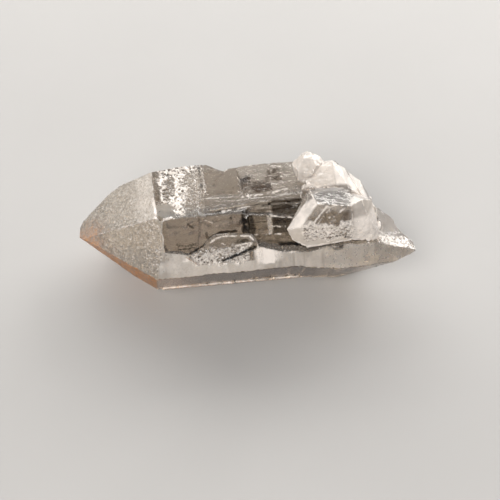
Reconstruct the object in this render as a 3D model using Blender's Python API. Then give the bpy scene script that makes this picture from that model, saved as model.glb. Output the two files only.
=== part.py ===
"""A natural quartz point lying on one prism face: a main crystal with stepped faces, a cluster of
small crystals grown over its root, and a broken wedge where it came off the vein.

Lengths are in millimetres while the shapes are made, and the finished solid is scaled to metres.
x runs along the main crystal's c axis from the point (-x) to the root (+x), y to the back, z up.
An azimuth is an angle about that axis: 0 faces the front, 90 up, 180 the back and 270 down. A place
on a prism face is (x, w, height): w runs up the face, or to the back on the top face, from the
middle of the face, and height is measured out from the plane of that face.
"""

import math
import random

import bmesh
import bpy
from mathutils import Matrix, Vector

MM = 0.001

# Quartz habit
RHOMB_SLOPE = 38.21  # degrees between a termination face and the c axis
STEEP_SLOPE = 8.0  # a steep rhombohedron under the termination, on the back
WORN_SLOPE = 66.0  # the rounding of a worn tip
SIXTH = math.radians(60)
JOIN_DISTANCE = 0.0006  # corners nearer than this become one

# Main crystal
FRONT, TOP, BACK_UP, BACK, BOTTOM, UNDER = 30, 90, 150, 210, 270, 330
PRISM = {TOP: 10.4, BACK_UP: 11.6, BACK: 11.0, BOTTOM: 11.0, UNDER: 11.4, FRONT: 11.3}
BODY_START, BODY_END = -40.0, 40.0  # the loft, before its ends are cut
TERMINATION = [
    # azimuth, slope, distance from the middle of the axis
    (TOP, RHOMB_SLOPE, 19.8),
    (FRONT + 6.7, 39.6, 20.44),  # this one grew a little out of true
    (UNDER, RHOMB_SLOPE, 21.1),
    (BOTTOM, RHOMB_SLOPE, 23.5),
    (BACK, RHOMB_SLOPE, 25.0),
    (BACK_UP, RHOMB_SLOPE, 24.1),
    (BACK_UP, STEEP_SLOPE, 13.4),
]
BLUNT_TIP = [
    # outward direction, distance: the worn point
    ((-1.0, 0.10, -0.05), 34.8),
    ((-0.85, 0.10, 0.50), 29.15),
]

# How far each face stands out along the axis, beside PRISM: (x, change). It is held past the ends.
BACK_UP_PROFILE = [
    (-7.6, 0.0), (-5.2, -1.3), (-4.3, -1.9), (-3.2, -1.35), (1.0, -1.1), (12.0, -1.0), (24.0, -1.6),
]
UNDER_PROFILE = [(9.0, 0.0), (13.0, 0.25), (17.0, 0.55), (22.0, 0.5), (27.0, 0.2)]
GROWTH_STEPS = 12  # low steps across the prism, each on about two faces in three
GROWTH_STEP_HEIGHT = 0.12
GROWTH_STEP_LENGTH = 0.35

# The broken root: outward direction and distance of each break
ROOT_BREAKS = [
    ((0.485, 0.0, -0.875), 19.0),
    ((0.68, -0.10, -0.726), 23.8),
    ((0.95, -0.10, -0.30), 32.2),
    ((0.71, 0.37, -0.60), 21.7),
    ((0.80, 0.55, 0.10), 24.0),
    ((0.754, 0.571, 0.325), 21.62),
    ((0.901, 0.365, 0.234), 26.36),
    ((0.352, -0.629, -0.694), 19.0),
]
UPPER_BREAK = ((0.279, 0.242, 0.929), 7.05)  # the sloping break on top of the wedge
STEP_BREAK = ((0.856, 0.14, 0.50), 21.7)  # the steep break that the cluster grew over


def clear_scene():
    for obj in list(bpy.data.objects):
        bpy.data.objects.remove(obj)


def direction(azimuth, slope=0.0):
    """Outward normal of a face that leans slope degrees towards the point."""
    a, s = math.radians(azimuth), math.radians(slope)
    return Vector((-math.sin(s), -math.cos(s) * math.cos(a), math.cos(s) * math.sin(a)))


def on_face(azimuth, x, w, height):
    """The point at (x, w) over a prism face, height out from the plane of the face."""
    a = math.radians(azimuth)
    up_the_face = Vector((0, math.sin(a), math.cos(a)))
    return Vector((x, 0, 0)) + direction(azimuth) * (PRISM[azimuth] + height) + up_the_face * w


def cut(bm, normal, distance):
    """Keeps what lies behind the plane, and closes the cut with one face."""
    normal = Vector(normal).normalized()
    everything = bm.verts[:] + bm.edges[:] + bm.faces[:]
    made = bmesh.ops.bisect_plane(
        bm, geom=everything, dist=1e-5, plane_co=normal * distance, plane_no=normal, clear_outer=True
    )
    edges = [e for e in made["geom_cut"] if isinstance(e, bmesh.types.BMEdge)]
    if edges:
        bmesh.ops.contextual_create(bm, geom=edges)


def add_object(name, bm):
    bmesh.ops.triangulate(bm, faces=bm.faces)
    bmesh.ops.recalc_face_normals(bm, faces=bm.faces)
    mesh = bpy.data.meshes.new(name)
    bm.to_mesh(mesh)
    bm.free()
    obj = bpy.data.objects.new(name, mesh)
    bpy.context.scene.collection.objects.link(obj)
    return obj


def combine(body, tool, operation):
    """Applies one Boolean to the body, and removes the tool."""
    modifier = body.modifiers.new(operation.lower(), "BOOLEAN")
    modifier.operation = operation
    modifier.object = tool
    graph = bpy.context.evaluated_depsgraph_get()
    mesh = bpy.data.meshes.new_from_object(body.evaluated_get(graph))
    body.modifiers.clear()
    body.data = mesh
    bpy.data.objects.remove(tool)


def held(profile, x):
    """A profile's value at x, straight between its points and level past its ends."""
    if x <= profile[0][0]:
        return profile[0][1]
    for (x0, v0), (x1, v1) in zip(profile, profile[1:]):
        if x <= x1:
            return v0 + (v1 - v0) * (x - x0) / (x1 - x0)
    return profile[-1][1]


def stations():
    """Distances of the six faces at every ring of the loft, with low growth steps on each face."""
    chance = random.Random(11)
    places = sorted(chance.uniform(-15, 34) for _ in range(GROWTH_STEPS))
    changes = [{a: chance.choice((-1, 0, 1)) * GROWTH_STEP_HEIGHT for a in PRISM} for _ in places]
    xs = {BODY_START, BODY_END}
    xs.update(x for x, _ in BACK_UP_PROFILE + UNDER_PROFILE)
    for x in places:
        xs.update((x, x + GROWTH_STEP_LENGTH))
    rings = []
    for x in sorted(xs):
        distances = dict(PRISM)
        for place, change in zip(places, changes):
            risen = min(max((x - place) / GROWTH_STEP_LENGTH, 0.0), 1.0)
            for a in PRISM:
                distances[a] += risen * change[a]
        distances[BOTTOM] = PRISM[BOTTOM]
        distances[BACK_UP] += held(BACK_UP_PROFILE, x)
        distances[UNDER] += held(UNDER_PROFILE, x)
        rings.append((x, distances))
    return rings


def main_body():
    bm = bmesh.new()
    azimuths = list(PRISM)
    rings = []
    for x, distances in stations():
        ring = []
        for here, after in zip(azimuths, azimuths[1:] + azimuths[:1]):
            a, b = direction(here), direction(after)
            faces = Matrix(((a.y, a.z), (b.y, b.z)))
            y, z = faces.inverted() @ Vector((distances[here], distances[after]))
            ring.append(bm.verts.new((x, y, z)))
        rings.append(ring)
    for ring, after in zip(rings, rings[1:]):
        for k in range(6):
            bm.faces.new((ring[k], ring[k - 5], after[k - 5], after[k]))
    bm.faces.new(rings[0])
    bm.faces.new(rings[-1])
    for azimuth, slope, distance in TERMINATION:
        cut(bm, direction(azimuth, slope), distance)
    for normal, distance in BLUNT_TIP + ROOT_BREAKS:
        cut(bm, normal, distance)
    return add_object("main", bm)


def clipped_block(planes, size=90.0):
    """A large cube, kept behind every plane."""
    bm = bmesh.new()
    bmesh.ops.create_cube(bm, size=size)
    for normal, distance in planes:
        cut(bm, normal, distance)
    return bm


def upper_break():
    """What broke away over the wedge: above the sloping break and beyond the steep one."""
    planes = [(-Vector(n).normalized(), -d) for n, d in (UPPER_BREAK, STEP_BREAK)]
    return add_object("upper_break", clipped_block(planes))


def grown(outline, by):
    """The outline with every edge moved out by the same amount. It runs counterclockwise."""
    points = [Vector(p) for p in outline]
    result = []
    for before, here, after in zip(points[-1:] + points[:-1], points, points[1:] + points[:1]):
        a = (here - before).normalized()
        b = (after - here).normalized()
        out = Vector((a.y + b.y, -a.x - b.x)).normalized()
        across = max(out.dot(Vector((a.y, -a.x))), 0.5)
        result.append(here + out * by / across)
    return result


def ragged_pair(outline, by, seed, step=1.3, amount=0.16):
    """The outline and its grown copy, both split and shaken alike, as natural edges are."""
    chance = random.Random(seed)
    low, high = [], []
    points = [Vector(p) for p in outline]
    wide = grown(outline, by)
    for k, here in enumerate(points):
        after = points[(k + 1) % len(points)]
        pieces = max(1, round((after - here).length / step))
        for i in range(pieces):
            shake = Vector((chance.uniform(-1, 1), chance.uniform(-1, 1))) * amount
            low.append(here.lerp(after, i / pieces) + shake)
            high.append(wide[k].lerp(wide[(k + 1) % len(points)], i / pieces) + shake)
    return low, high


def slab(name, azimuth, outline, bottom, top, flare, seed):
    """An outline on a prism face, drawn out from one height to another and flared on the way."""
    low, high = ragged_pair(outline, flare, seed)
    bm = bmesh.new()
    under = [bm.verts.new(on_face(azimuth, x, w, bottom)) for x, w in low]
    over = [bm.verts.new(on_face(azimuth, x, w, top)) for x, w in high]
    count = len(under)
    for k in range(count):
        bm.faces.new((under[k], under[k - count + 1], over[k - count + 1], over[k]))
    bm.faces.new(under)
    bm.faces.new(over)
    return add_object(name, bm)


def hull(name, points):
    bm = bmesh.new()
    for p in points:
        bm.verts.new(p)
    made = bmesh.ops.convex_hull(bm, input=bm.verts)
    unused = {v for v in made["geom_interior"] + made["geom_unused"] if isinstance(v, bmesh.types.BMVert)}
    bmesh.ops.delete(bm, geom=list(unused), context="VERTS")
    return add_object(name, bm)


def leaning(out, slope):
    """A direction turned from out towards the crystal's own point."""
    s = math.radians(slope)
    return Vector((math.sin(s), 0, 0)) + out * math.cos(s)


def small_crystal(name, middle, axis, radius, length, turn, chance, worn=False):
    """A hexagonal prism with a six-faced point, uneven as small crystals are, or with a worn tip."""
    frame = Vector(axis).to_track_quat("X", "Z").to_matrix().to_4x4()
    bm = bmesh.new()
    bmesh.ops.create_cube(bm, size=length * 4 + radius * 4)
    for k in range(6):
        a = turn + k * SIXTH
        out = Vector((0, math.cos(a), math.sin(a)))
        cut(bm, out, radius * chance.uniform(0.82, 1.12))
        reach = length * math.sin(math.radians(RHOMB_SLOPE))
        cut(bm, leaning(out, RHOMB_SLOPE), reach * chance.uniform(0.86, 1.1))
        if worn:
            cut(bm, leaning(out, WORN_SLOPE), length * chance.uniform(0.68, 0.74))
    cut(bm, (-1, 0, 0), length)
    bm.transform(Matrix.Translation(middle) @ frame)
    return add_object(name, bm)


def shell_break(place, outward, radius, depth):
    """A shallow shell-shaped fracture: a sphere that dips into the surface."""
    middle = Vector(place) + Vector(outward).normalized() * (radius - depth)
    bm = bmesh.new()
    bmesh.ops.create_icosphere(bm, subdivisions=4, radius=radius)
    bm.transform(Matrix.Translation(middle))
    return add_object("shell_break", bm)


RECESS_TOP = 0.9  # where a recess's walls end, above the face
# Recesses in the faces: azimuth, floor height, flare of the walls, seed, outline (x, w)
RECESSES = [
    # the front face behind the termination's rim
    (FRONT, -0.45, 1.0, 1, [(-17.1, 0.4), (-17.1, -0.7), (-13.0, -1.5), (-9.9, -1.0), (-8.2, 0.6),
                            (-6.1, 1.7), (0.6, 1.2), (0.6, 7.4), (-9.0, 7.4), (-16.6, 7.4),
                            (-17.3, 4.6)]),
    # its deeper part, up to the cluster
    (FRONT, -1.2, 0.7, 2, [(-0.3, 0.2), (1.9, -0.8), (5.6, -1.9), (11.4, -2.8), (15.4, -2.3), (25.0, -2.6),
                           (25.0, 5.4), (-0.2, 5.2)]),
    (FRONT, -2.0, 0.5, 3, [(-0.6, 5.4), (4.0, 4.9), (8.6, 4.2), (25.0, 4.0), (25.0, 11.0), (-0.2, 11.0)]),
    # a clear hollow in the top face, open at the back
    (TOP, -0.55, 0.5, 4, [(-8.2, -0.8), (-1.6, -1.1), (-1.3, 12.0), (-8.3, 12.0)]),
    (TOP, -0.3, 0.5, 5, [(-1.7, -1.0), (4.0, -1.9), (11.6, -1.6), (11.6, 12.0), (-1.5, 12.0)]),
    # the back
    (BACK, -0.6, 0.8, 6, [(3.0, -3.4), (9.0, -2.8), (16.0, -4.2), (40.0, -3.6), (40.0, 2.6),
                          (14.0, 1.8), (6.0, 3.0), (-1.0, 1.2)]),
    (BACK, -0.35, 0.9, 7, [(-9.6, 1.0), (-2.0, 2.4), (5.0, 2.0), (12.0, 3.2), (12.0, 12.0), (-11.0, 12.0)]),
    (BACK_UP, -0.5, 0.6, 8, [(6.0, -12.0), (40.0, -12.0), (40.0, -1.0), (20.0, -2.6),
                             (12.0, -1.4), (7.0, -3.4)]),
]
# Raised islands, in the same form: their top stands at the height, and the walls lean in
ISLANDS = [
    (FRONT, 0.35, -0.5, 21, [(-9.0, 0.4), (-7.7, 1.4), (-5.6, 1.6), (-0.6, 1.2), (0.2, 0.4), (0.5, -1.4),
                             (-2.6, -2.7), (-6.4, -4.0), (-10.9, -3.6), (-12.8, -2.4), (-9.9, -1.5)]),
    (UNDER, 0.28, -0.4, 22, [(-19.0, -6.6), (15.0, -6.6), (12.0, -5.0), (4.0, -4.0), (-6.0, -4.6),
                             (-18.6, -3.8)]),
    (TOP, 0.22, -0.3, 23, [(-8.6, -5.6), (2.0, -4.4), (10.8, -4.4), (10.8, -2.4), (3.0, -2.6),
                           (-2.0, -2.2), (-8.0, -2.8)]),
    (BACK, 0.45, -0.6, 24, [(-16.0, -3.4), (-6.0, -4.4), (-3.0, -3.9), (-6.0, 0.6), (-15.0, 1.4)]),
]

# The cluster: convex crystals by their corners, each corner as (azimuth, x, w, height)
CLUSTER = {
    "table_crystal": [
        (FRONT, 9.1, 3.1, 3.9), (FRONT, 12.8, 7.7, 4.0), (FRONT, 19.5, 6.7, 4.1), (FRONT, 19.6, 2.5, 4.0),
        (FRONT, 6.8, 2.2, 1.5), (FRONT, 7.3, 0.7, 1.2), (FRONT, 7.8, -0.3, 0.9), (FRONT, 10.7, -2.4, 0.6),
        (FRONT, 20.0, -1.6, 0.7), (FRONT, 11.9, 9.0, 1.6), (TOP, 12.2, -2.4, 0.9), (TOP, 17.1, -3.1, 1.4),
        (TOP, 20.2, -3.8, 1.2), (FRONT, 8.4, 1.0, -3.0), (FRONT, 11.4, -1.6, -3.0), (FRONT, 20.5, -1.2, -3.0),
        (FRONT, 13.0, 8.0, -4.0), (FRONT, 20.0, 8.0, -4.0),
    ],
    "shoulder_crystal": [
        (FRONT, 19.3, 6.6, 3.95), (FRONT, 19.4, 2.4, 3.9), (FRONT, 22.4, 5.0, 3.4), (FRONT, 22.9, 2.9, 3.2),
        (FRONT, 22.3, 0.9, 2.8), (TOP, 17.6, -3.2, 1.2), (FRONT, 21.6, 7.6, 3.2), (FRONT, 19.6, -1.6, 0.7),
        (FRONT, 25.1, -2.1, 0.5), (FRONT, 25.3, -0.3, 0.9), (FRONT, 24.8, 3.3, 1.0), (FRONT, 23.8, 6.6, 1.0),
        (FRONT, 19.0, 0.0, -4.0), (FRONT, 24.6, 0.0, -3.6), (FRONT, 23.0, 6.0, -4.0),
        (FRONT, 18.0, 8.0, -4.0),
    ],
    "ridge_crystal": [
        (TOP, 17.1, -3.2, 1.5), (TOP, 17.7, 2.6, 2.5), (TOP, 17.8, 4.2, 1.5), (TOP, 17.9, 5.6, -0.6),
        (TOP, 11.2, 2.9, 0.6), (TOP, 11.7, 4.8, 0.2), (TOP, 12.2, -2.2, 0.7), (TOP, 20.1, 2.5, 0.8),
        (TOP, 20.2, -3.8, 1.2), (TOP, 21.4, 2.4, -1.0), (TOP, 22.7, -3.8, -0.9), (TOP, 12.6, -3.0, -5.0),
        (TOP, 13.0, 4.0, -5.0), (TOP, 20.0, 4.6, -4.0), (TOP, 22.6, 3.0, -6.0), (TOP, 22.6, -4.0, -6.0),
    ],
    "flank_crystal": [
        (TOP, 20.4, 2.3, 0.3), (TOP, 21.5, 2.6, -1.3), (TOP, 23.6, 2.3, -3.2), (TOP, 25.2, 1.8, -6.4),
        (TOP, 26.4, 1.6, -9.2), (TOP, 26.8, 3.4, -12.0), (TOP, 25.5, -9.8, -8.0), (TOP, 26.2, -7.2, -8.8),
        (TOP, 26.8, -1.0, -10.4), (TOP, 24.6, -8.4, -4.0), (TOP, 24.3, -5.6, -1.9), (TOP, 22.6, -3.6, -0.5),
        (TOP, 20.5, -3.6, -8.0), (TOP, 20.0, 4.6, -5.0), (TOP, 20.0, 4.0, -13.0), (TOP, 22.0, -9.0, -10.0),
    ],
}
NUB = ((13.1, 3.85, 9.8), (0.05, 0.45, 0.9), 3.5, 5.2)  # middle, axis, radius, length

# Crust: where small crystals sit on the cluster, and how they spread
CRUST_PATHS = [
    # azimuth, (x, w, height) from, to, how many, size
    (TOP, (21.0, 1.6, -1.6), (25.4, 0.8, -8.4), 6, 0.50),
    (TOP, (24.6, -5.0, -3.3), (26.2, -0.8, -9.4), 5, 0.50),
    (TOP, (25.4, -9.8, -7.8), (26.6, 2.4, -11.8), 7, 0.50),
    (FRONT, (25.0, -1.4, -0.1), (24.6, 3.6, 0.1), 5, 0.42),
    (TOP, (11.4, -1.6, 0.2), (12.9, -3.0, 0.9), 5, 0.45),
    (FRONT, (20.4, -1.2, 0.4), (24.6, -1.8, 0.1), 4, 0.45),
    (TOP, (19.6, 3.2, -4.6), (23.0, 3.6, -9.0), 6, 0.60),
    (BACK_UP, (8.4, -0.4, -1.5), (14.4, 1.4, -1.9), 6, 1.0),
]
SPREAD = 0.35

SHELL_BREAKS = [
    # where the shell-shaped break is deepest, its outward direction, radius, depth
    ((-4.6, 6.2, 10.2), (0.0, 0.6, 0.8), 3.2, 0.5),
    ((22.6, 5.0, -4.0), (0.71, 0.37, -0.60), 9.0, 0.9),
    ((27.4, -7.4, -6.0), (0.68, -0.10, -0.73), 7.0, 0.6),
    ((-26.0, 9.0, 5.0), (-0.62, 0.68, 0.39), 8.0, 0.5),
    ((31.4, -5.4, -0.5), (0.90, 0.37, 0.23), 9.0, 0.5),
    ((17.4, 6.1, 10.2), (0.1, 0.8, 0.6), 7.0, 0.45),
]


def crust():
    chance = random.Random(7)
    made = []
    for azimuth, start, end, count, size in CRUST_PATHS:
        for k in range(count):
            place = Vector(start).lerp(Vector(end), (k + 0.5) / count)
            place += Vector([chance.gauss(0, SPREAD) for _ in range(3)])
            middle = on_face(azimuth, *place)
            lean = direction(azimuth) + Vector([chance.uniform(-0.9, 0.9) for _ in range(3)])
            radius = size * chance.uniform(0.6, 1.3)
            length = radius * chance.uniform(1.3, 2.0)
            turn = chance.random()
            made.append(small_crystal("crust", middle, lean, radius, length, turn, chance))
    return made


def floor_block():
    """Everything under the face that the crystal lies on."""
    bm = bmesh.new()
    bmesh.ops.create_cube(bm, size=120.0)
    bm.transform(Matrix.Translation((0, 0, -PRISM[BOTTOM] - 60.0)))
    return add_object("floor", bm)


def pieces_of(bm):
    """The vertices of each connected piece, the largest last."""
    left = set(bm.verts)
    pieces = []
    while left:
        piece, open_ends = set(), [left.pop()]
        while open_ends:
            vert = open_ends.pop()
            piece.add(vert)
            for edge in vert.link_edges:
                other = edge.other_vert(vert)
                if other in left:
                    left.discard(other)
                    open_ends.append(other)
        pieces.append(piece)
    return sorted(pieces, key=len)


def tidy(body):
    """Drops what a break left loose or sealed in, and the needles that Booleans leave."""
    bm = bmesh.new()
    bm.from_mesh(body.data)
    for piece in pieces_of(bm)[:-1]:
        bmesh.ops.delete(bm, geom=list(piece), context="VERTS")
    bmesh.ops.remove_doubles(bm, verts=bm.verts, dist=JOIN_DISTANCE)
    bmesh.ops.dissolve_degenerate(bm, edges=bm.edges, dist=JOIN_DISTANCE)
    bmesh.ops.triangulate(bm, faces=bm.faces)
    bm.to_mesh(body.data)
    bm.free()


def quartz_material():
    material = bpy.data.materials.new("quartz")
    material.use_nodes = True
    shader = material.node_tree.nodes["Principled BSDF"]
    shader.inputs["Base Color"].default_value = (0.86, 0.82, 0.79, 1.0)
    shader.inputs["Roughness"].default_value = 0.12
    shader.inputs["Metallic"].default_value = 0.0
    shader.inputs["IOR"].default_value = 1.55
    shader.inputs["Transmission Weight"].default_value = 1.0
    return material


def stand(body):
    """Origin at the middle of the bounding box, on the surface the crystal lies on; then metres."""
    points = [v.co for v in body.data.vertices]
    low = Vector([min(p[i] for p in points) for i in range(3)])
    high = Vector([max(p[i] for p in points) for i in range(3)])
    middle = (low + high) / 2
    body.data.transform(Matrix.Translation((-middle.x, -middle.y, -low.z)))
    body.data.transform(Matrix.Scale(MM, 4))


clear_scene()
body = main_body()
combine(body, upper_break(), "DIFFERENCE")
for azimuth, floor, flare, seed, outline in RECESSES:
    flared = flare * (RECESS_TOP - floor)
    combine(body, slab("recess", azimuth, outline, floor, RECESS_TOP, flared, seed), "DIFFERENCE")
for azimuth, height, lean, seed, outline in ISLANDS:
    combine(body, slab("island", azimuth, outline, height - 1.0, height, lean, seed), "UNION")
for name, corners in CLUSTER.items():
    combine(body, hull(name, [on_face(*corner) for corner in corners]), "UNION")
combine(body, small_crystal("nub", *NUB, 0.3, random.Random(3), worn=True), "UNION")
for crystal in crust():
    combine(body, crystal, "UNION")
for shape in SHELL_BREAKS:
    combine(body, shell_break(*shape), "DIFFERENCE")
combine(body, floor_block(), "DIFFERENCE")
tidy(body)
stand(body)
body.name = "quartz_point"
body.data.materials.clear()
body.data.materials.append(quartz_material())
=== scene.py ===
"""Looks of the quartz point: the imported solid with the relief, frosting, clouds and stains of a
natural crystal, lying on a pale surface.

Shapes are worked out in millimetres in the crystal's own axes, as in the part's source: x runs along
the main crystal's c axis from the point (-x) to the root (+x), y to the back and z up. An azimuth is
an angle about that axis: 0 faces the front, 90 up, 180 the back. A place on a prism face is x, w up
the face from its middle, and height out from the plane of that face.
"""

import math
from functools import partial

import bmesh
import bpy
import numpy as np
from mathutils import Matrix, Vector, geometry, noise
from mathutils.bvhtree import BVHTree


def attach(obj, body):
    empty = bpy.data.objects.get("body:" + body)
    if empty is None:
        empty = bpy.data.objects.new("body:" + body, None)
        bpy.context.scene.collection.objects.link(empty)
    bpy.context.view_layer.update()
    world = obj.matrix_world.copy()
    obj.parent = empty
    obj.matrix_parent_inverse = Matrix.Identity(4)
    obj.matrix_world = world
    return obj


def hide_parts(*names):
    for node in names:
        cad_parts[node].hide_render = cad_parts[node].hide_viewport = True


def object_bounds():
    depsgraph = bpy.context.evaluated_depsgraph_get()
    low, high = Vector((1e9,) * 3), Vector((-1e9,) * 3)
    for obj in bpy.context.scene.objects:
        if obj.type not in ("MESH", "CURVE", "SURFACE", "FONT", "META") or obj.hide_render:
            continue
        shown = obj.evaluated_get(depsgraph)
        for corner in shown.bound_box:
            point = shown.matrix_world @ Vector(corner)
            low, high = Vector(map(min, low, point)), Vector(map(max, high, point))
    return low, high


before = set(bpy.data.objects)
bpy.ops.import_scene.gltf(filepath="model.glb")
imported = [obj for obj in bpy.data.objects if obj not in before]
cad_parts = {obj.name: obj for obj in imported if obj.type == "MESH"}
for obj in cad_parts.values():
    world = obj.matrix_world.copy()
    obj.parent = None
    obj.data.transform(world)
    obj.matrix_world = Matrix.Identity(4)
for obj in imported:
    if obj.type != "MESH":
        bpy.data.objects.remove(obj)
cad_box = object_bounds()

MM = 0.001
NODE = "quartz_point"
AXIS = np.array((0.8698, 0.0838, 11.0))  # where the c axis passes in the row frame, in millimetres

# Quartz habit: distance of each prism face from the axis, and the slope of the termination faces
FRONT, TOP, BACK_UP, BACK, BOTTOM, UNDER = 30, 90, 150, 210, 270, 330
PRISM = {TOP: 10.4, BACK_UP: 11.6, BACK: 11.0, BOTTOM: 11.0, UNDER: 11.4, FRONT: 11.3}
RHOMB_SLOPE = 38.21
POINT_FRONT = (FRONT + 6.7, 39.6, 20.44)  # azimuth, slope and distance of a face a little out of true

# ------ the detailed mesh

WELD = 1e-4  # mm
FLAT_ANGLE = 0.6  # degrees: triangles flatter than this to each other make one facet
FINE, MEDIUM, COARSE = 0.22, 0.3, 0.6  # mm from point to point
GRID_MARGIN = 0.55  # how far the grid keeps from a facet's outline, in spacings
CDT_INSIDE = 1  # triangles inside the outline only
CDT_EPSILON = 1e-6


def direction(azimuth, slope=0.0):
    """Outward normal of a face that leans slope degrees towards the point."""
    a, s = math.radians(azimuth), math.radians(slope)
    return np.array((-math.sin(s), -math.cos(s) * math.cos(a), math.cos(s) * math.sin(a)))


def face_places(azimuth, points):
    """x, w and height of points over a prism face."""
    a = math.radians(azimuth)
    up_the_face = np.array((0.0, math.sin(a), math.cos(a)))
    return points[:, 0], points @ up_the_face, points @ direction(azimuth) - PRISM[azimuth]


def place_on(azimuth, point):
    """x, w and height of one point over a prism face."""
    return [float(v[0]) for v in face_places(azimuth, point[None, :])]


def flat_facets(node):
    """The node's solid in millimetres from the c axis, with its flat areas joined into facets."""
    bm = bmesh.new()
    bm.from_mesh(node.data)
    bm.transform(Matrix.Translation(-Vector(AXIS)) @ Matrix.Scale(1 / MM, 4))
    bmesh.ops.remove_doubles(bm, verts=bm.verts, dist=WELD)
    bmesh.ops.dissolve_limit(bm, angle_limit=math.radians(FLAT_ANGLE), verts=bm.verts, edges=bm.edges)
    return bm


def inside(polygon, points):
    """Which points lie in a polygon, and their squared distance from its outline."""
    found = np.zeros(len(points), bool)
    nearest = np.full(len(points), np.inf)
    for a, b in zip(polygon, np.roll(polygon, -1, axis=0)):
        crosses = (a[1] > points[:, 1]) != (b[1] > points[:, 1])
        if crosses.any():
            at = a[0] + (b[0] - a[0]) * (points[:, 1] - a[1]) / (b[1] - a[1] or 1.0)
            found ^= crosses & (points[:, 0] < at)
        along = b - a
        t = np.clip((points - a) @ along / max(along @ along, 1e-12), 0, 1)
        nearest = np.minimum(nearest, ((points - a - t[:, None] * along) ** 2).sum(1))
    return found, nearest


def grid_inside(outline, spacing):
    """A triangular grid of points in the outline, clear of its edges."""
    low, high = outline.min(0), outline.max(0)
    rows = np.arange(low[1], high[1], spacing * math.sqrt(0.75))
    columns = np.arange(low[0], high[0], spacing)
    if not len(rows) or not len(columns):
        return np.zeros((0, 2))
    shift = (np.arange(len(rows)) % 2)[:, None] * spacing / 2
    x = (columns[None, :] + shift).ravel()
    y = np.repeat(rows, len(columns))
    grid = np.stack((x, y), 1)
    within, nearest = inside(outline, grid)
    return grid[within & (nearest > (GRID_MARGIN * spacing) ** 2)]


def facet_spacing(face):
    """How fine the mesh is on a facet: coarse underneath, finest towards the front and top."""
    n = face.normal
    underneath = n.z < -0.95
    to_front_or_top = n.y < 0.3 and n.z > -0.6
    if underneath:
        return COARSE
    return FINE if to_front_or_top else MEDIUM


def points_along_edges(bm, points):
    """Adds points along every edge, and gives their indices from each corner to the next."""
    between = {}
    for edge in bm.edges:
        a, b = edge.verts
        spacing = min(facet_spacing(f) for f in edge.link_faces)
        count = max(1, round(edge.calc_length() / spacing))
        made = list(range(len(points), len(points) + count - 1))
        points += [a.co.lerp(b.co, k / count) for k in range(1, count)]
        between[a.index, b.index] = made
        between[b.index, a.index] = made[::-1]
    return between


def fill_facet(face, loop, points):
    """Triangles over a facet, through the points of its outline and a grid that it adds to points."""
    n = face.normal
    u = n.orthogonal().normalized()
    v = n.cross(u)
    origin = face.calc_center_median()
    outline = np.array([((points[i] - origin).dot(u), (points[i] - origin).dot(v)) for i in loop])
    grid = grid_inside(outline, facet_spacing(face))
    flat = [Vector(p) for p in outline] + [Vector(p) for p in grid]
    places, _, triangles, place_sources, _, triangle_sources = geometry.delaunay_2d_cdt(
        flat, [], [list(range(len(loop)))], CDT_INSIDE, CDT_EPSILON, True
    )
    ids = []
    for place, sources in zip(places, place_sources):
        if sources and sources[0] < len(loop):
            ids.append(loop[sources[0]])
        else:
            ids.append(len(points))
            points.append(origin + u * place.x + v * place.y)
    return [[ids[i] for i in t] for t, sources in zip(triangles, triangle_sources) if sources]


def fine_mesh(bm):
    """Points, triangles and each triangle's facet: every facet filled with an even grid."""
    points = [v.co.copy() for v in bm.verts]
    between = points_along_edges(bm, points)
    triangles, facets = [], []
    for face in bm.faces:
        corners = [v.index for v in face.verts]
        loop = []
        for a, b in zip(corners, corners[1:] + corners[:1]):
            loop += [a] + between[a, b]
        made = fill_facet(face, loop, points)
        triangles += made
        facets += [face.index] * len(made)
    return np.array([tuple(p) for p in points]), np.array(triangles), np.array(facets)


# ------ which face is which

UPPER_BREAK = (0.279, 0.242, 0.929)
UPPER_BREAK_DISTANCE = 7.05
BREAKS = [
    # outward directions of the broken faces at the root
    (0.485, 0.0, -0.875),
    (0.68, -0.10, -0.726),
    (0.95, -0.10, -0.30),
    (0.71, 0.37, -0.60),
    (0.80, 0.55, 0.10),
    (0.754, 0.571, 0.325),
    (0.901, 0.365, 0.234),
    (0.352, -0.629, -0.694),
    UPPER_BREAK,
    (0.856, 0.14, 0.50),
]
SAME_FACE = math.cos(math.radians(9))
GROWTH_STEP = math.cos(math.radians(36))  # a low step across a prism face counts as part of it
SAME_SIDE = math.cos(math.radians(14))  # how nearly a facet faces the direction that a zone gives
POINT_ENDS = -10.0  # x beyond which there are no termination faces

# Where the small crystals begin along the axis, out from the face under them and up the front face
ON_FRONT_X, ON_FRONT_RISE, ON_FRONT_W = 6.6, 0.28, -3.2
ON_TOP_X, ON_TOP_RISE = 10.4, 0.1
ON_BREAK_X, ON_BREAK_RISE, ON_BREAK_DEPTH = 19.0, 0.12, -6.0
SIDE_WALL_X, SIDE_WALL_W = 7.0, -2.3
LEVEL = 0.95  # z of a normal that points straight up, or nearly


def in_cluster(centre):
    """Whether a facet that far out belongs to the small crystals over the root."""
    x, w, over_front = place_on(FRONT, centre)
    over_top = place_on(TOP, centre)[2]
    over_break = float(centre @ np.array(UPPER_BREAK)) - UPPER_BREAK_DISTANCE
    on_front = x > ON_FRONT_X and over_front > ON_FRONT_RISE and w > ON_FRONT_W
    on_top = x > ON_TOP_X and over_top > ON_TOP_RISE
    on_break = x > ON_BREAK_X and over_break > ON_BREAK_RISE and over_front > ON_BREAK_DEPTH
    return on_front or on_top or on_break


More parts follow.
